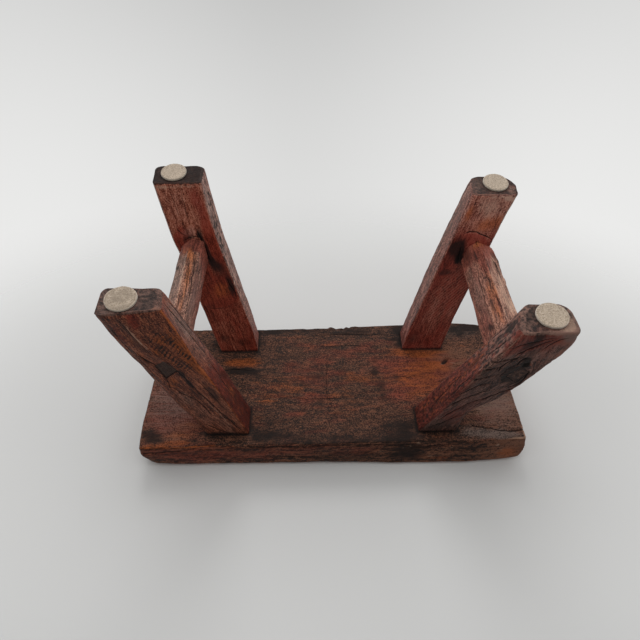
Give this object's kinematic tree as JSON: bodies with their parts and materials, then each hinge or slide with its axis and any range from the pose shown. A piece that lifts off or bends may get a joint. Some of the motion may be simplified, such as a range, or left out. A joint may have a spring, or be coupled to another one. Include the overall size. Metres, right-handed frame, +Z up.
{
  "type": "plank stool",
  "caption": "Low rustic wooden stool: thick rectangular plank seat on splayed rectangular legs, with an end stretcher between each pair of legs and felt pads on the feet.",
  "frame": {"origin": "on the floor under the middle of the stool, at the centre of the bounding box's bottom face", "axes": "+Z up through the seat, +X along the seat's length, -Y towards the long side that is nearest in the picture"},
  "size_m": [0.3936, 0.21, 0.251],
  "materials": {
    "seat_wood": "dark stained, worn and waxed, stained black in places",
    "leg_wood": "red-brown, hewn and rubbed to a low gloss",
    "stretcher_wood": "weathered brown, rubbed on its ridge",
    "wedge_wood": "end grain, dark and waxed",
    "felt": "pressed beige felt, matt"
  },
  "bodies": {
    "root": {"seat": "seat_wood", "front_right_leg": "leg_wood", "front_left_leg": "leg_wood", "back_right_leg": "leg_wood", "back_left_leg": "leg_wood", "right_stretcher": "stretcher_wood", "left_stretcher": "stretcher_wood", "front_right_wedge": "wedge_wood", "front_left_wedge": "wedge_wood", "back_right_wedge": "wedge_wood", "back_left_wedge": "wedge_wood", "front_right_pad": "felt", "front_left_pad": "felt", "back_right_pad": "felt", "back_left_pad": "felt"}
  },
  "joints": []
}
